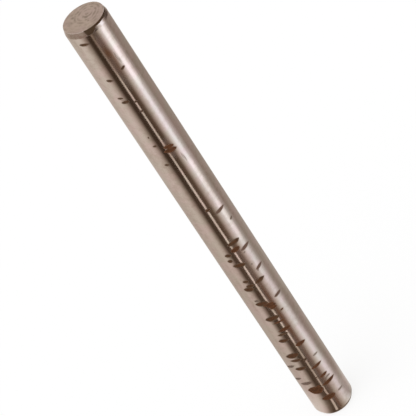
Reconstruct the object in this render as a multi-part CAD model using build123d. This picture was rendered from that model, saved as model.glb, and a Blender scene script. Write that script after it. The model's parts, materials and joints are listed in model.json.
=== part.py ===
from build123d import *
import os

# Solid steel piston pin: a plain ground shank, faced at both ends.
# It stands on its foot. The origin is the centre of the foot's face, and +Z runs
# up the axis to the head. Everything is in millimetres.

# Shank
pin_diameter = 6.35
pin_length = 79.375

# Head: a long slim lead that starts the pin in its bores
lead_length = 0.80
lead_depth = 0.20

# Foot: a steeper chamfer, about twice as deep
foot_length = 0.76
foot_depth = 0.38

# Edges: the soft line where a bevel runs into the ground shank, and the broken
# corner that the facing tool leaves round each end face
bevel_blend = 0.60
corner_break = 0.06


# The flat faces are what the two bevels leave of the shank's section.
shank_radius = pin_diameter / 2
head_face_radius = shank_radius - lead_depth
foot_face_radius = shank_radius - foot_depth


# Half of the pin's section: along the foot's face, up the outside, back along the
# head's face and down the axis.
def half_section():
    with BuildSketch(Plane.XZ) as section:
        with BuildLine():
            outside = FilletPolyline(
                (0, 0),
                (foot_face_radius, 0),
                (shank_radius, foot_length),
                (shank_radius, pin_length - lead_length),
                (head_face_radius, pin_length),
                (0, pin_length),
                radius=[corner_break, bevel_blend, bevel_blend, corner_break],
            )
            Line(outside @ 1, outside @ 0)
        make_face()
    return section.sketch


piston_pin = revolve(half_section(), axis=Axis.Z)
piston_pin.label = "piston_pin"

os.makedirs("parts", exist_ok=True)
export_step(piston_pin, "parts/piston_pin.step")

print(f"piston_pin: {piston_pin.volume:.1f} mm3, {piston_pin.bounding_box().size}")
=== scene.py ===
import json
import math

import bmesh
import bpy
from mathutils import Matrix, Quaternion, Vector, noise


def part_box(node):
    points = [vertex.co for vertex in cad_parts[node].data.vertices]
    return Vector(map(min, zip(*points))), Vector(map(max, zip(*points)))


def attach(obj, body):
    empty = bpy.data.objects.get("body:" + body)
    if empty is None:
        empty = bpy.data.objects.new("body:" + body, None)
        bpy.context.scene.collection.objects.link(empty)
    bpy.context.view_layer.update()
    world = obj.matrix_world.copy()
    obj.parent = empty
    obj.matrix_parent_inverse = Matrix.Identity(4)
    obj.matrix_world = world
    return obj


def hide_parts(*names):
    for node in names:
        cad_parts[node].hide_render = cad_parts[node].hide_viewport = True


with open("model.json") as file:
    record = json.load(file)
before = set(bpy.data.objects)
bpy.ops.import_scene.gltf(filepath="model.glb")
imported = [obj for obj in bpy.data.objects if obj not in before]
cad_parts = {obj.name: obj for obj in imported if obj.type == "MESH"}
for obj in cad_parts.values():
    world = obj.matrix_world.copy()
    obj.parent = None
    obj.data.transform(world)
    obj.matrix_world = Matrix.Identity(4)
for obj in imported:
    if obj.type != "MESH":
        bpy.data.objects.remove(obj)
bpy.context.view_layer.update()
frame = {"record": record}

mm = 0.001
pinLow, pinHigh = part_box("piston_pin")
shank = next(m for m in frame["record"]["mounts"] if m["name"] == "shank")
pinRadius = shank["dims"]["r_mm"] * mm

# Bearings go round the pin in degrees: 0 faces the camera, and 90 is to its right.
camera = {
    "bearing": 30,  # where the camera stands, from -Y towards +X
    "height": 37.0,  # degrees above the horizon
    "roll": 33.4,  # how far the pin leans to the left in the view
    "distance": 320.8 * mm,
    "aside": 1.4 * mm,  # how far the pin's middle is right of the view's middle
    "below": 2.0 * mm,
    "lens": 200,
}


def outward(bearing, distance=1.0, height=0.0):
    turn = math.radians(camera["bearing"] + bearing)
    return Vector((math.sin(turn) * distance, -math.cos(turn) * distance, height))


def bearingOf(place):
    turn = math.degrees(math.atan2(place.x, -place.y)) - camera["bearing"]
    return (turn + 180) % 360 - 180


def smooth(low, high, x):
    share = min(1.0, max(0.0, (x - low) / (high - low)))
    return share * share * (3 - 2 * share)


def addPiece(name, mesh):
    made = bpy.data.meshes.new(name)
    mesh.to_mesh(made)
    mesh.free()
    piece = bpy.data.objects.new(name, made)
    bpy.context.scene.collection.objects.link(piece)
    return piece


class Wire:
    # One output socket. Sums on it add Math nodes.
    def __init__(self, graph, socket):
        self.graph = graph
        self.socket = socket

    def maths(self, operation, first, second):
        return self.graph.node("ShaderNodeMath", {"operation": operation}, {0: first, 1: second})

    def __add__(self, other):
        return self.maths("ADD", self, other)

    def __radd__(self, other):
        return self.maths("ADD", other, self)

    def __sub__(self, other):
        return self.maths("SUBTRACT", self, other)

    def __rsub__(self, other):
        return self.maths("SUBTRACT", other, self)

    def __mul__(self, other):
        return self.maths("MULTIPLY", self, other)

    def __rmul__(self, other):
        return self.maths("MULTIPLY", other, self)

    def __truediv__(self, other):
        return self.maths("DIVIDE", self, other)


class Graph:
    def __init__(self, owner):
        owner.use_nodes = True
        self.tree = owner.node_tree
        self.tree.nodes.clear()

    def node(self, kind, settings=None, sockets=None, output=0):
        made = self.tree.nodes.new(kind)
        for name, value in (settings or {}).items():
            if name == "stops":
                self.setStops(made.color_ramp, value)
            else:
                setattr(made, name, value)
        for name, value in (sockets or {}).items():
            if isinstance(value, Wire):
                self.tree.links.new(value.socket, made.inputs[name])
            else:
                made.inputs[name].default_value = value
        return Wire(self, made.outputs[output]) if made.outputs else made

    def setStops(self, ramp, stops):
        while len(ramp.elements) < len(stops):
            ramp.elements.new(1.0)
        for element, (place, colour) in zip(ramp.elements, stops):
            element.position = place
            element.color = (*colour, 1.0)

    def mixColour(self, share, first, second, blend="MIX"):
        return self.node(
            "ShaderNodeMix",
            {"data_type": "RGBA", "blend_type": blend},
            {"Factor": share, 6: asColour(first), 7: asColour(second)},
            output=2,
        )

    def vector(self, operation, first, second):
        settings = {"operation": operation}
        return self.node("ShaderNodeVectorMath", settings, {0: first, 1: second}, output="Vector")

    def attribute(self, name):
        return self.node("ShaderNodeAttribute", {"attribute_name": name}, output="Fac")

    def speckle(self, place, scale, detail, stretch=None):
        where = self.vector("MULTIPLY", place, stretch) if stretch else place
        sockets = {"Vector": where, "Scale": scale, "Detail": detail}
        return self.node("ShaderNodeTexNoise", None, sockets, output="Fac")

    def ramp(self, wire, low, high):
        return self.node(
            "ShaderNodeMapRange",
            {"interpolation_type": "SMOOTHSTEP"},
            {"Value": wire, "From Min": low, "From Max": high},
        )


def asColour(value):
    return value if isinstance(value, Wire) else (*value, 1.0)


pin = {
    "steps": 144,  # facets round the pin
    "leadLength": 0.80 * mm,  # the head's slim bevel
    "leadDepth": 0.20 * mm,
    "footLength": 0.76 * mm,  # the foot's steeper bevel
    "footDepth": 0.38 * mm,
    "blend": 0.60 * mm,
    "corner": 0.06 * mm,
    "hold": 0.012 * mm,  # rows this near a corner keep the flat or cone beside it true
    "coarse": 0.45 * mm,  # spacing of the plain shank's rows
    "fine": 0.1 * mm,  # spacing of the rows that cross a nick
    "cornerParts": 4,
    "blendParts": 8,
    "bevelParts": 8,
    "faceDeep": 0.01 * mm,  # how far below the head's face its rings still shape the mesh
    "upright": 0.95,  # a facet whose normal stands this straight belongs to an end
}

facing = {
    "bearing": 120,  # the tool's centre missed the pin's axis
    "offset": 0.80 * mm,
    "firstRing": 0.2 * mm,
    "pitch": 0.55 * mm,
    "depth": 0.008 * mm,
    "pipRadius": 0.30 * mm,
    "pipHeight": 0.02 * mm,
    "pipTop": 0.4,  # how much of the pip's radius is level
    "ringsEnd": 0.9,  # the rings fade from this share of the face's radius to its edge
    "spacing": 0.06 * mm,
    "dints": [  # bearing, distance, radius
        (-137, 1.75, 0.28),
        (-174, 1.80, 0.26),
        (53, 0.45, 0.34),
        (15, 1.3, 0.22),
    ],
    "dintDepth": 0.012 * mm,
    "dintBottom": 0.3,  # how much of a dint's radius is level
}

# Nicks and rust pits, placed to about 0.1 mm: height up the pin in mm, bearing of
# the middle and span round the pin in degrees, breadth and rise from left to right in
# mm, and skew, which moves the fattest part to the right (or left, where it is negative).
# Most heights, bearings and spans were worked out by another script from marks made by eye.
nicks = {
    "depth": 0.035 * mm,
    "ragged": 0.035 * mm,  # how far the outlines wander
    "raggedSize": 0.4 * mm,  # the size of one wander
    "bluntness": 2.7,  # 1 is a lozenge, 2 a rounded lens, and more is squarer
    "outside": -0.5 * mm,  # what stands for well clear of a nick
    "wall": (0.05 * mm, 0.2 * mm),  # where the wall starts and ends, inside the outline
    "uneven": 0.4,  # how uneven the bottom is, as a share of the depth
    "unevenSize": 0.3 * mm,
    "margin": 0.1,  # mm of fine rows above and below a nick
    "past": 1.4,  # how far along a nick is looked for, in half spans
    "aboveBelow": 2 * mm,  # how far up and down it is
    "kinds": {  # how red and how solid
        "dark": (0.0, 1.0),
        "red": (1.0, 1.0),
        "brown": (0.6, 0.82),
        "light": (0.0, 0.78),
        "faint": (0.3, 0.55),
        "trace": (0.0, 0.2),
    },
    "dark": [
        (77.45, -34, 28, 0.44, -0.1, -0.2),
        (71.65, 13, 14, 0.42, 0.1, 0.0),
        (70.8, -31, 18, 0.42, -0.2, -0.2),
        (67.55, -34, 15, 0.34, -0.1, -0.1),
        (66.75, -27, 23, 0.48, 0.0, 0.0),
        (66.2, -5, 10, 0.28, 0.0, 0.0),
        (64.4, -5, 10, 0.28, 0.0, 0.0),
        (60.0, -29, 5, 0.30, 0.0, 0.0),
        (58.3, -27, 12, 0.32, 0.0, 0.0),
        (54.65, -28, 13, 0.38, -0.1, 0.0),
        (44.8, -4, 20, 0.52, 0.0, 0.0),
        (37.7, 4, 39, 0.76, 0.0, 0.1),
        (36.0, -26, 19, 0.62, -0.1, 0.0),
        (34.9, -30, 15, 0.60, 0.0, 0.0),
        (33.65, -15, 34, 0.86, -0.4, 0.1),
        (30.4, -25, 18, 0.56, -0.1, 0.0),
        (29.55, 9, 30, 0.76, 0.1, -0.25),
        (29.4, -21, 24, 0.66, -0.1, 0.0),
        (28.8, -30, 29, 0.84, -0.2, 0.0),
        (25.5, -22, 35, 0.88, -0.2, 0.0),
        (22.2, -20, 41, 0.96, 0.0, -0.1),
        (18.65, -20, 30, 0.46, 0.0, 0.0),
        (17.4, -28, 31, 0.74, 0.0, -0.1),
        (14.0, -32, 42, 1.05, 0.3, 0.1),
        (12.9, -30, 35, 0.58, 0.0, 0.1),
        (12.5, -8, 14, 0.42, 0.1, 0.0),
        (11.05, -31, 36, 0.72, 0.1, -0.1),
    ],
    "red": [
        (57.3, 1, 28, 0.60, -0.4, 0.0),
        (56.65, 0, 36, 0.72, -0.4, 0.0),
        (36.5, -2, 28, 0.80, 0.1, 0.0),
        (24.9, -8, 30, 0.62, -0.2, 0.0),
        (24.45, -3, 26, 0.62, -0.1, 0.0),
        (24.0, -1, 21, 0.46, 0.0, 0.0),
        (22.8, 14, 12, 0.30, 0.0, 0.0),
        (21.15, -10, 34, 0.34, 0.0, 0.0),
        (19.45, -8, 35, 0.64, 0.1, 0.1),
        (15.6, 7, 31, 0.70, -0.1, -0.35),
        (10.3, 10, 36, 0.50, 0.1, -0.1),
        (8.35, -9, 9, 0.20, 0.0, 0.0),
        (8.05, 10, 29, 0.48, 0.1, 0.2),
        (6.6, -17, 12, 0.46, 0.0, 0.0),
        (6.45, 15, 45, 0.64, 0.1, -0.1),
        (5.95, -31, 45, 1.60, -0.1, 0.1),
        (3.8, -9, 40, 1.04, -0.1, 0.1),
    ],
    "brown": [
        (43.6, 22, 35, 0.58, 0.1, -0.1),
        (35.8, 25, 35, 0.58, 0.1, -0.1),
        (31.5, 28, 27, 0.54, 0.2, -0.2),
        (25.4, 29, 28, 0.54, 0.0, -0.1),
    ],
    "light": [
        (41.1, 36, 11, 0.38, 0.1, 0.0),
        (26.3, -30, 13, 0.38, 0.0, 0.0),
        (11.45, -62, 38, 0.50, 0.9, 0.0),
        (8.55, -65, 32, 0.46, 0.8, 0.0),
        (7.65, -45, 40, 0.62, 0.5, 0.2),
    ],
    "faint": [
        (35.15, 14, 7, 0.24, 0.0, 0.0),
        (32.7, 13, 7, 0.26, 0.0, 0.0),
        (31.1, 18, 6, 0.30, 0.0, 0.0),
        (12.1, 24, 19, 0.32, -0.1, 0.0),
        (7.35, 21, 15, 0.32, -0.1, 0.0),
        (7.2, 9, 14, 0.30, 0.0, 0.0),
        (3.7, 31, 21, 0.34, -0.1, 0.0),
    ],
    "trace": [
        (73.35, 16, 4, 2.0, -1.2, 0.0),
        (54.4, 19, 6, 1.5, -1.4, 0.0),
    ],
}

# Stains: brown haze on the ground steel, as height and reach along the pin in mm, then
# bearing and spread in degrees, then strength.
stains = [
    (73.6, 6.0, 3, 14, 1.6),
    (57, 2.2, 2, 14, 1.0),
    (37, 2.2, 3, 11, 1.0),
    (20, 22, 3, 10, 1.0),
    (24.5, 1.4, -2, 16, 1.0),
    (8, 5.5, 4, 10.5, 0.9),
    (2.5, 5, 3, 8, 0.9),
]

# A dark line is painted under the head's edge, from bearing to bearing, and its wider patch over the bevel
# is a painted reflection of the studio's dark gap.
paintedEdgeDark = {
    "bearings": (-19, 60),
    "from": -0.02 * mm,  # below the face
    "to": 0.33 * mm,
    "patch": (-11, 26, 0.84 * mm),  # where it widens into painted dark reflection: bearing, spread and how far down it goes
    "slant": 6,  # degrees that its left end moves right for each mm down
    "taper": 0.05 * mm,  # how much it narrows for each degree at its ends
    "ragged": 0.06 * mm,
    "size": 0.5 * mm,  # of its ragged edge and of the brown spots on the bevel
    "spots": 0.6,  # how strong those spots are
}

# Long shallow ripples left by the grinding, which make the steel's reflections waver
ripple = {
    "depth": 0.006 * mm,
    "round": 1.1 * mm,  # their size round the pin
    "along": 9 * mm,
    "fade": 0.5 * mm,  # how far from a bevel they reach their depth
}


def arc(middle, radius, fromAngle, toAngle, parts):
    # Points round a corner, as (distance from the axis, height)
    for part in range(parts + 1):
        turn = math.radians(fromAngle + (toAngle - fromAngle) * part / parts)
        yield middle[0] + radius * math.cos(turn), middle[1] + radius * math.sin(turn)


def bevelProfile(depth, length, faceSpacing):
    # One end, from the middle of its face out to the shank. Heights run back from the face.
    slope = math.degrees(math.atan2(length, depth))  # of the bevel, from the face
    cornerReach = pin["corner"] * math.tan(math.radians(slope / 2))
    blendReach = pin["blend"] * math.tan(math.radians((90 - slope) / 2))
    faceRadius = pinRadius - depth - cornerReach
    rings = math.ceil(faceRadius / faceSpacing)
    points = [(faceRadius * ring / rings, 0.0) for ring in range(rings)]
    points.append((faceRadius - pin["hold"], 0.0))
    corner = list(arc((faceRadius, pin["corner"]), pin["corner"], -90, slope - 90, pin["cornerParts"]))
    blendMiddle = (pinRadius - pin["blend"], length + blendReach)
    blend = list(arc(blendMiddle, pin["blend"], slope - 90, 0, pin["blendParts"]))
    outwards, along = depth / math.hypot(depth, length), length / math.hypot(depth, length)
    run = math.dist(corner[-1], blend[0])
    parts = pin["bevelParts"]
    rows = [pin["hold"], *(run * part / parts for part in range(1, parts)), run - pin["hold"]]
    points += corner
    points += [(corner[-1][0] + outwards * reach, corner[-1][1] + along * reach) for reach in rows]
    points += blend
    return points


def nearNick(height):
    for kind in nicks["kinds"]:
        for place, _, _, breadth, rise, _ in nicks[kind]:
            if abs(height - place * mm) < (breadth / 2 + abs(rise) / 2 + nicks["margin"]) * mm:
                return True
    return False


def shankHeights(low, high):
    heights = []
    height = low
    while height < high - pin["fine"]:
        height += pin["fine"]
        plain = heights and height - heights[-1] < pin["coarse"] - pin["fine"] / 2
        if plain and not nearNick(height):
            continue
        heights.append(height)
    return heights


def nickAt(place):
    # How far inside a nick's outline this point of the shank is, how red and how solid
    bearing = bearingOf(place)
    inside, redness, solid = nicks["outside"], 0.0, 1.0
    wander = nicks["ragged"] * noise.noise(place / nicks["raggedSize"])
    for kind, (red, firm) in nicks["kinds"].items():
        for height, middle, span, breadth, rise, skew in nicks[kind]:
            along = (bearing - middle) / (span / 2)
            if abs(along) > nicks["past"] or abs(place.z - height * mm) > nicks["aboveBelow"]:
                continue
            line = (height + rise / 2 * along) * mm
            fullness = (1 - abs(along) ** nicks["bluntness"]) * (1 + skew * along)
            depth = breadth / 2 * fullness * mm - abs(place.z - line) + wander
            if depth > inside:
                inside, redness, solid = depth, red, firm
    return inside, redness, solid


def stainAt(place):
    stain = 0.0
    for height, reach, bearing, spread, strength in stains:
        along = (place.z / mm - height) / reach
        across = ((bearingOf(place) - bearing + 180) % 360 - 180) / spread
        stain = max(stain, strength * (1 - smooth(0.2, 1.0, math.hypot(along, across))))
    return stain


def edgeDarkAt(place):
    # How far inside the painted dark line under the head's edge, with its patch of painted dark reflection,
    # this point is
    below = pinHigh.z - place.z
    low, high = paintedEdgeDark["bearings"]
    bearing = bearingOf(place)
    middle, spread, deepest = paintedEdgeDark["patch"]
    wide = 1 - smooth(0.3, 1.0, abs(bearing - middle) / spread)
    reach = paintedEdgeDark["to"] + (deepest - paintedEdgeDark["to"]) * wide
    reach += paintedEdgeDark["ragged"] * noise.noise(place / paintedEdgeDark["size"])
    fromEnds = min(bearing - low - paintedEdgeDark["slant"] * below / mm, high - bearing)
    return min(below - paintedEdgeDark["from"], reach - below, fromEnds * paintedEdgeDark["taper"])


def dintAt(place):
    # How deep in one of the face's dints this point is, from 0 to 1
    depth = 0.0
    for bearing, distance, radius in facing["dints"]:
        middle = outward(bearing, distance * mm)
        away = math.hypot(place.x - middle.x, place.y - middle.y) / (radius * mm)
        depth = max(depth, 1 - smooth(facing["dintBottom"], 1.0, away))
    return depth


def faceRelief(place):
    # Turning rings round the tool's centre, with the pip that it left
    centre = outward(facing["bearing"], facing["offset"])
    distance = math.hypot(place.x - centre.x, place.y - centre.y)
    turns = (distance - facing["firstRing"]) / facing["pitch"]
    rings = -facing["depth"] * (math.cos(2 * math.pi * turns) + 1) / 2
    pip = facing["pipHeight"] * (1 - smooth(facing["pipTop"], 1.0, distance / facing["pipRadius"]))
    outwards = math.hypot(place.x, place.y) / (pinRadius - pin["leadDepth"])
    rim = 1 - smooth(facing["ringsEnd"], 1.0, outwards)
    return rings * rim + (pip - facing["pipHeight"]) - facing["dintDepth"] * dintAt(place)


def rippleAt(place):
    where = Vector((place.x / ripple["round"], place.y / ripple["round"], place.z / ripple["along"]))
    return ripple["depth"] * (1 + noise.noise(where)) / 2


def makePin():
    mesh = bmesh.new()
    foot = bevelProfile(pin["footDepth"], pin["footLength"], 3 * facing["spacing"])
    head = bevelProfile(pin["leadDepth"], pin["leadLength"], facing["spacing"])
    outline = [(radius, pinLow.z + back) for radius, back in foot]
    outline += [(pinRadius, h) for h in shankHeights(outline[-1][1], pinHigh.z - head[-1][1])]
    outline += [(radius, pinHigh.z - back) for radius, back in reversed(head)]
    points = [mesh.verts.new((radius, 0.0, height)) for radius, height in outline]
    edges = [mesh.edges.new(pair) for pair in zip(points, points[1:])]
    bmesh.ops.spin(
        mesh,
        geom=points + edges,
        axis=(0, 0, 1),
        angle=2 * math.pi,
        steps=pin["steps"],
        use_merge=True,
    )
    bmesh.ops.remove_doubles(mesh, verts=mesh.verts, dist=0.001 * mm)
    bmesh.ops.recalc_face_normals(mesh, faces=mesh.faces)
    print("pin: spun", len(mesh.verts), "points from", len(outline), "rows")

    nickLayer = mesh.verts.layers.float.new("nick")
    redLayer = mesh.verts.layers.float.new("redness")
    solidLayer = mesh.verts.layers.float.new("solid")
    stainAndDintLayer = mesh.verts.layers.float.new("stain")
    shankLow, shankHigh = foot[-1][1] + pinLow.z, pinHigh.z - head[-1][1]
    for point in mesh.verts:
        place = point.co.copy()
        point[nickLayer] = nicks["outside"] / mm
        point[solidLayer] = 1.0
        if shankLow < place.z < shankHigh:
            inside, redness, solid = nickAt(place)
            point[nickLayer] = inside / mm
            point[redLayer] = redness
            point[solidLayer] = solid
            point[stainAndDintLayer] = stainAt(place)
            sink = nicks["depth"] * solid * smooth(*nicks["wall"], inside)
            sink *= 0.8 + nicks["uneven"] * noise.noise(place / nicks["unevenSize"])
            fromBevel = min(place.z - shankLow, shankHigh - place.z)
            sink += rippleAt(place) * smooth(0, ripple["fade"], fromBevel)
            point.co -= Vector((place.x, place.y, 0)).normalized() * sink
        elif place.z > pinHigh.z - pin["faceDeep"]:
            point.co.z += faceRelief(place)
            # on the face this layer holds the dints' depth, which the face's material paints darker with its
            # shadow colour
            point[stainAndDintLayer] = dintAt(place)
        elif place.z > shankHigh:
            # on the head's bevel, a redness of -1 marks the painted dark line and its patch of painted dark
            # reflection
            point[nickLayer] = edgeDarkAt(place) / mm
            point[redLayer] = -1.0
            spot = smooth(-0.1, 0.3, noise.noise(place / paintedEdgeDark["size"]))
            point[stainAndDintLayer] = paintedEdgeDark["spots"] * spot

    for face in mesh.faces:
        face.smooth = True
        face.material_index = 1 if abs(face.normal.z) > pin["upright"] else 0
    piece = addPiece("pistonPin", mesh)
    triangles = sum(len(p.vertices) - 2 for p in piece.data.polygons)
    print("pin: nicked and faced,", triangles, "triangles")
    return piece


steel = {
    "colour": (0.635, 0.515, 0.49),
    "greener": (0.600, 0.525, 0.475),
    "dull": (0.44, 0.35, 0.30),  # a thin brown film on it
    "pit": (0.105, 0.062, 0.036),
    "rust": (0.122, 0.047, 0.020),
    "deep": (0.068, 0.028, 0.012),  # the middle of the bigger pits
    "char": (0.038, 0.019, 0.010),
    # painted dark for the line under the head's edge and its patch of painted dark reflection
    "edgeDark": (0.064, 0.039, 0.022),
    "stain": (0.25, 0.12, 0.064),
    "stainBase": 0.3,  # how much of a stain is even, the rest being blotches
    "rim": (0.22, 0.145, 0.10),  # round a nick
    "roughness": 0.078,
    "grind": 0.75,  # how far the grinding spreads a reflection along the pin
    "crumbleScale": 6000,  # the finest grain, which eats at the nicks' edges
    "grainScale": 1800,
    "charScale": 2600,
    "tintScale": 500,
    "linesRound": (400, 400, 5000),  # grinding lines, as their scale across and up the pin
    "linesAlong": (1300, 1300, 70),
    "cloudStretch": (300, 300, 120),
    "dulling": {"cloud": 0.4, "linesRound": 0.25, "grain": 1.3, "linesAlong": 0.9},
    "haloShare": 0.45,  # how strongly a nick's rim shows
    "deepShare": 0.45,
    "charShare": 0.45,
    "pitRoughness": 0.5,
}

faced = {
    "colour": (0.450, 0.340, 0.270),
    "shadow": (0.255, 0.190, 0.142),
    "rosy": (0.445, 0.325, 0.275),
    "roughness": 0.36,
    "finePitch": 0.17 * mm,
    "coarseRings": 0.45,
    "fineRings": 0.15,
    "wobbleScale": 700,  # of the rings' waver
    "patchScale": 1400,
    "tintScale": 420,
    # how much of the shadow colour the dints are painted with
    "dint": 0.8,
}


def rustColour(graph, place, nick, redness, crumble):
    core = graph.ramp(nick, 0.05, 0.3)
    rustShare = graph.ramp(redness * 0.8 + core * 0.55 + (crumble - 0.5) * 1.5 + 0.1, 0.1, 0.9)
    rust = graph.mixColour(rustShare, steel["pit"], steel["rust"])
    rust = graph.mixColour(core * steel["deepShare"], rust, steel["deep"])
    charred = graph.ramp(graph.speckle(place, steel["charScale"], 3.0), 0.45, 0.7)
    return graph.mixColour(charred * steel["charShare"], rust, steel["char"])


def makeSteel():
    material = bpy.data.materials.new("groundSteel")
    graph = Graph(material)
    place = graph.node("ShaderNodeTexCoord", output="Object")
    nick = graph.attribute("nick")
    redness = graph.attribute("redness")
    solid = graph.attribute("solid")
    stain = graph.attribute("stain")

    crumble = graph.speckle(place, steel["crumbleScale"], 3.0)
    linesRound = graph.speckle(place, 1.0, 2.0, steel["linesRound"])
    linesAlong = graph.speckle(place, 1.0, 3.0, steel["linesAlong"])
    grain = graph.speckle(place, steel["grainScale"], 2.0)
    cloud = graph.speckle(place, 1.0, 2.0, steel["cloudStretch"])
    # the painted dark line under the head's edge and its patch of painted dark reflection, where redness is
    # -1
    edgeDark = graph.ramp(0 - redness, 0.2, 0.8)
    hole = graph.ramp(nick + (crumble - 0.5) * 0.08, -0.015, 0.035) * solid
    halo = graph.ramp(nick + (crumble - 0.5) * 0.06, -0.18, 0.0) * solid * (1 - edgeDark)

    dulling = steel["dulling"]
    film = graph.ramp(cloud, 0.42, 0.75) * dulling["cloud"]
    film = film + (linesRound - 0.5) * dulling["linesRound"] + (grain - 0.5) * dulling["grain"]
    film = film + (linesAlong - 0.5) * dulling["linesAlong"]
    tint = graph.ramp(graph.speckle(place, steel["tintScale"], 2.0), 0.35, 0.65)
    colour = graph.mixColour(tint, steel["colour"], steel["greener"])
    colour = graph.mixColour(film, colour, steel["dull"])
    blotch = graph.ramp(cloud, 0.25, 0.55)
    soiled = stain * (steel["stainBase"] + (1 - steel["stainBase"]) * blotch)
    colour = graph.mixColour(soiled * 0.9, colour, steel["stain"])
    colour = graph.mixColour(halo * steel["haloShare"], colour, steel["rim"])
    rust = rustColour(graph, place, nick, redness, crumble)
    # paints that dark line and its patch of painted dark reflection, blotched with the deep colour
    rust = graph.mixColour(edgeDark, rust, graph.mixColour(blotch, steel["deep"], steel["edgeDark"]))
    colour = graph.mixColour(hole, colour, rust)

    metallic = 1 - hole * 0.92 - soiled * 0.3
    roughness = steel["roughness"] + (linesRound + linesAlong) * 0.025 + stain * 0.03
    roughness = roughness + hole * steel["pitRoughness"]
    relief = graph.node(
        "ShaderNodeBump",
        None,
        {"Strength": 0.2, "Distance": 0.01 * mm, "Height": crumble * hole},
    )
    shader = graph.node(
        "ShaderNodeBsdfPrincipled",
        None,
        {
            "Base Color": colour,
            "Metallic": metallic,
            "Roughness": roughness,
            "Normal": relief,
            "Anisotropic": steel["grind"],
            "Specular IOR Level": 0.06,
        },
    )
    graph.node("ShaderNodeOutputMaterial", None, {"Surface": shader})
    return material


def makeFacedSteel():
    material = bpy.data.materials.new("facedSteel")
    graph = Graph(material)
    centre = outward(facing["bearing"], facing["offset"])
    place = graph.node("ShaderNodeTexCoord", output="Object")
    moved = graph.vector("SUBTRACT", place, (centre.x, centre.y, 0.0))
    flat = graph.vector("MULTIPLY", moved, (1, 1, 0))
    distance = graph.node("ShaderNodeVectorMath", {"operation": "LENGTH"}, {0: flat}, output="Value")
    # the dints' depth, which paints them darker with the shadow colour
    dint = graph.attribute("stain")
    wobble = graph.speckle(place, faced["wobbleScale"], 2.0) - 0.5
    coarseTurns = (distance - facing["firstRing"]) / facing["pitch"] + wobble
    fineTurns = distance / faced["finePitch"] + wobble * 0.9
    coarse = graph.node("ShaderNodeMath", {"operation": "COSINE"}, {0: coarseTurns * (2 * math.pi)})
    fine = graph.node("ShaderNodeMath", {"operation": "COSINE"}, {0: fineTurns * (2 * math.pi)})
    patch = graph.speckle(place, faced["patchScale"], 5.0)
    middle = 1 - graph.ramp(distance, 0.9 * mm, 2.6 * mm) * 0.7
    rings = coarse * faced["coarseRings"] + fine * faced["fineRings"]
    rings = rings * middle * graph.ramp(patch, 0.35, 0.65)
    share = rings + graph.ramp(patch, 0.35, 0.7) * 0.5 + dint * faced["dint"] + 0.22
    tint = graph.ramp(graph.speckle(place, faced["tintScale"], 2.0), 0.4, 0.6)
    colour = graph.mixColour(tint, faced["colour"], faced["rosy"])
    colour = graph.mixColour(share, colour, faced["shadow"])
    relief = graph.node("ShaderNodeBump", None, {"Strength": 0.25, "Distance": 0.006 * mm, "Height": fine})
    shader = graph.node(
        "ShaderNodeBsdfPrincipled",
        None,
        {
            "Base Color": colour,
            "Metallic": 1.0,
            "Roughness": faced["roughness"] + patch * 0.1,
            "Normal": relief,
        },
    )
    graph.node("ShaderNodeOutputMaterial", None, {"Surface": shader})
    return material


# Cards lie round the foot and show only in the steel's shine. Each row of the round
# card is a bearing, its tone at the foot, near it, far from it and beyond, and how warm
# they are: a bright window to the right, a dark gap in front and grey walls elsewhere.
# Most of its tones are a thinned and rounded copy of ones that another script worked out.
cards = {
    "round": [
        (-180, 0.6, 0.55, 0.6, 0.6, 0.0),
        (-150, 0.6, 0.5, 0.6, 0.5, 0.0),
        (-110, 0.8, 0.6, 0.7, 0.4, 0.0),
        (-90, 0.85, 0.6, 0.8, 0.4, 0.0),
        (-75, 0.9, 0.7, 0.8, 0.4, 0.0),
        (-60, 0.85, 0.65, 0.6, 0.4, 0.0),
        (-47, 0.6, 0.3, 0.3, 0.4, 0.0),
        (-36, 0.25, 0.07, 0.05, 0.3, 0.0),
        (-23, 0.09, 0.08, 0.04, 0.06, 0.5),
        (0, 0.1, 0.1, 0.07, 0.05, 1.0),
        (10, 0.28, 0.17, 0.11, 0.05, 1.0),
        (22, 0.65, 0.5, 0.48, 0.07, 0.0),
        (35, 1.0, 0.85, 0.95, 0.9, -0.5),
        (46, 0.95, 1.15, 1.4, 1.8, -1.0),
        (56, 0.75, 1.05, 1.4, 1.7, -1.0),
        (66, 0.5, 0.75, 0.8, 1.3, -1.0),
        (77, 0.55, 0.45, 0.55, 0.6, -1.0),
        (90, 0.6, 0.35, 0.33, 0.08, -0.5),
        (125, 0.7, 0.45, 0.38, 0.07, -0.5),
        (150, 0.65, 0.42, 0.35, 0.2, -0.5),
        (180, 0.6, 0.55, 0.6, 0.6, 0.0),
    ],
    "blends": [(4, 11), (35, 85), (150, 240)],  # mm, between the tones
    "reach": 2.5,
    "strips": {  # from bearing to bearing and distance to distance, and the tone
        "foot": (-15.2, -7.4, 3.3 * mm, 8 * mm, 0.68),
        "near": (-17.2, -9.2, 8 * mm, 22 * mm, 0.60),
        "main": (-16.8, -8.4, 22 * mm, 75 * mm, 0.97),
        "upper": (-16, -8.5, 75 * mm, 112 * mm, 0.82),
        "tail": (-16, -9, 112 * mm, 122 * mm, 0.45),
        "tip": (-18, -8, 122 * mm, 150 * mm, 0.25),
        "haze": (-8, 11, 118 * mm, 150 * mm, 0.105),
    },
    "stripWarmth": 0.7,
    "glares": {  # clear cards, which the round one shows through
        "low": (44, 68, 50 * mm, 77 * mm, 0.24),
        "high": (41, 73, 106 * mm, 145 * mm, 0.28),
    },
    "rim": (5, 110, 2.86 * mm, 3.05 * mm, 0.22),  # a dim band under the foot's bevel
    "facets": 24,
    "roundFacets": 72,
    "red": (1.03, 0.88, 1.055),  # how red follows a tone: share, power and warmth
    "blue": (0.95, 1.12, 0.93),
    "heights": {"round": 0.10 * mm, "strip": 0.14 * mm, "rim": 0.18 * mm, "glare": 0.22 * mm},
}


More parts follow.
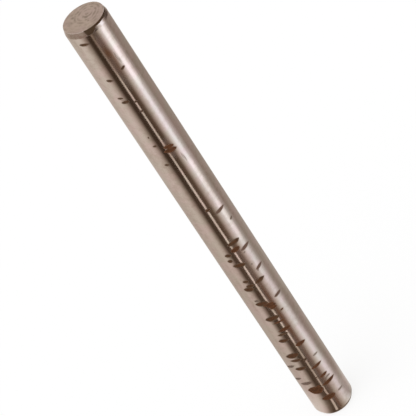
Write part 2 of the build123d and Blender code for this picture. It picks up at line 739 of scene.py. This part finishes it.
def warmed(tone, warmth):
    # The studio's dark corners are browner than its light ones.
    red, blue = (
        share * tone**power * change**warmth for share, power, change in (cards["red"], cards["blue"])
    )
    return red, tone, blue


def hideButShine(card):
    card.visible_camera = False
    card.visible_diffuse = False
    card.visible_shadow = False
    card.visible_transmission = False
    card.visible_volume_scatter = False


def makeCard(name, fromBearing, toBearing, near, far, height, steps):
    mesh = bmesh.new()
    ends = [mesh.verts.new(outward(fromBearing, r, height)) for r in (near, far)]
    edge = mesh.edges.new(ends)
    turn = toBearing - fromBearing
    bmesh.ops.spin(
        mesh,
        geom=ends + [edge],
        axis=(0, 0, 1),
        angle=math.radians(turn),
        steps=steps,
        use_merge=turn == 360,
    )
    card = addPiece(name, mesh)
    hideButShine(card)
    return card


def plainGlow(name, tone, clear=False):
    material = bpy.data.materials.new(name)
    graph = Graph(material)
    glow = graph.node("ShaderNodeEmission", None, {"Color": (*tone, 1.0)})
    if clear:
        glow = graph.node("ShaderNodeAddShader", None, {0: glow, 1: graph.node("ShaderNodeBsdfTransparent")})
    graph.node("ShaderNodeOutputMaterial", None, {"Surface": glow})
    return material


def roundGlow():
    material = bpy.data.materials.new("cardRound")
    graph = Graph(material)
    place = graph.node("ShaderNodeTexCoord", output="Object")
    distance = graph.node("ShaderNodeVectorMath", {"operation": "LENGTH"}, {0: place}, output="Value")
    sideways = graph.node("ShaderNodeSeparateXYZ", None, {"Vector": place}, output="X")
    forwards = graph.node("ShaderNodeSeparateXYZ", None, {"Vector": place}, output="Y")
    turn = graph.node("ShaderNodeMath", {"operation": "ARCTAN2"}, {0: sideways, 1: 0 - forwards})
    turn = turn / (2 * math.pi) + (0.5 - camera["bearing"] / 360)
    share = graph.node("ShaderNodeMath", {"operation": "WRAP"}, {0: turn, 1: 0.0, 2: 1.0})

    def ring(column):
        stops = [(0.5 + row[0] / 360, warmed(row[column], row[-1])) for row in cards["round"]]
        return graph.node("ShaderNodeValToRGB", {"stops": stops}, {"Fac": share}, output="Color")

    tone = ring(1)
    for column, (low, high) in enumerate(cards["blends"], 2):
        tone = graph.mixColour(graph.ramp(distance, low * mm, high * mm), tone, ring(column))
    glow = graph.node("ShaderNodeEmission", None, {"Color": tone})
    graph.node("ShaderNodeOutputMaterial", None, {"Surface": glow})
    return material


def makeCards():
    heights = cards["heights"]
    inner, facets = cards["rim"][2], cards["facets"]
    wide = (-180, 180, inner, cards["reach"])
    full = makeCard("cardRound", *wide, heights["round"], cards["roundFacets"])
    full.data.materials.append(roundGlow())
    for name, (*edges, tone) in cards["strips"].items():
        strip = makeCard("strip" + name.capitalize(), *edges, heights["strip"], facets)
        strip.data.materials.append(plainGlow(strip.name, warmed(tone, cards["stripWarmth"])))
    for name, (*edges, tone) in cards["glares"].items():
        glare = makeCard("glare" + name.capitalize(), *edges, heights["glare"], facets)
        glare.data.materials.append(plainGlow(glare.name, (tone, tone, tone), clear=True))
    *edges, tone = cards["rim"]
    rim = makeCard("cardRim", *edges, heights["rim"], facets)
    rim.data.materials.append(plainGlow(rim.name, warmed(tone, 0.0)))
    print("stage: cards laid round the foot")


stage = {
    "floorSize": 8.0,
    "white": (1.0, 1.0, 1.0),
    "shadowShare": 0.2,  # how much of the floor's own shading shows
    "ambient": 0.7,
    "sunPower": 1.1,
    "sunBreadth": 50,  # degrees
    "sunPlace": (-60, 0.5, 1.0),  # bearing, distance and height
}


def seenRay(graph):
    # 1 for what the camera sees, straight or in something shiny
    straight = graph.node("ShaderNodeLightPath", output="Is Camera Ray")
    glossy = graph.node("ShaderNodeLightPath", output="Is Glossy Ray")
    return straight + glossy


def makeFloor():
    mesh = bmesh.new()
    bmesh.ops.create_grid(mesh, x_segments=1, y_segments=1, size=stage["floorSize"] / 2)
    floor = addPiece("floor", mesh)
    material = bpy.data.materials.new("floor")
    graph = Graph(material)
    white = graph.node("ShaderNodeEmission", None, {"Color": asColour(stage["white"])})
    paper = graph.node("ShaderNodeBsdfDiffuse", None, {"Color": asColour(stage["white"])})
    share = seenRay(graph) * (1 - stage["shadowShare"])
    mixed = graph.node("ShaderNodeMixShader", None, {0: share, 1: paper, 2: white})
    graph.node("ShaderNodeOutputMaterial", None, {"Surface": mixed})
    floor.data.materials.append(material)
    print("stage: floor laid")


def makeLight():
    world = bpy.data.worlds.new("studio")
    bpy.context.scene.world = world
    graph = Graph(world)
    strength = stage["ambient"] + seenRay(graph) * (1 - stage["ambient"])
    sockets = {"Color": asColour(stage["white"]), "Strength": strength}
    back = graph.node("ShaderNodeBackground", None, sockets)
    graph.node("ShaderNodeOutputWorld", None, {"Surface": back})
    lamp = bpy.data.lights.new("softbox", "SUN")
    lamp.energy = stage["sunPower"]
    lamp.angle = math.radians(stage["sunBreadth"])
    holder = bpy.data.objects.new("softbox", lamp)
    bearing, distance, height = stage["sunPlace"]
    holder.location = outward(bearing, distance, height)
    holder.rotation_euler = holder.location.to_track_quat("Z", "Y").to_euler()
    holder.visible_glossy = False
    bpy.context.scene.collection.objects.link(holder)
    print("stage: lit")


def makeCamera():
    data = bpy.data.cameras.new("camera")
    data.lens = camera["lens"]
    holder = bpy.data.objects.new("camera", data)
    height = math.radians(camera["height"])
    back = outward(0, math.cos(height), math.sin(height))
    lean = Quaternion((0, 0, 1), -math.radians(camera["roll"]))
    turn = back.to_track_quat("Z", "Y") @ lean
    middle = Vector((0, 0, (pinLow.z + pinHigh.z) / 2))
    holder.rotation_mode = "QUATERNION"
    holder.rotation_quaternion = turn
    holder.location = middle + turn @ Vector((-camera["aside"], camera["below"], camera["distance"]))
    bpy.context.scene.collection.objects.link(holder)
    bpy.context.scene.camera = holder


makeCamera()
makeFloor()
makeCards()
makeLight()
bpy.context.scene.view_settings.view_transform = "Standard"

pistonPin = makePin()
pistonPin.data.materials.append(makeSteel())
pistonPin.data.materials.append(makeFacedSteel())
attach(pistonPin, "root")
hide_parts("piston_pin")
print("pin: finished")
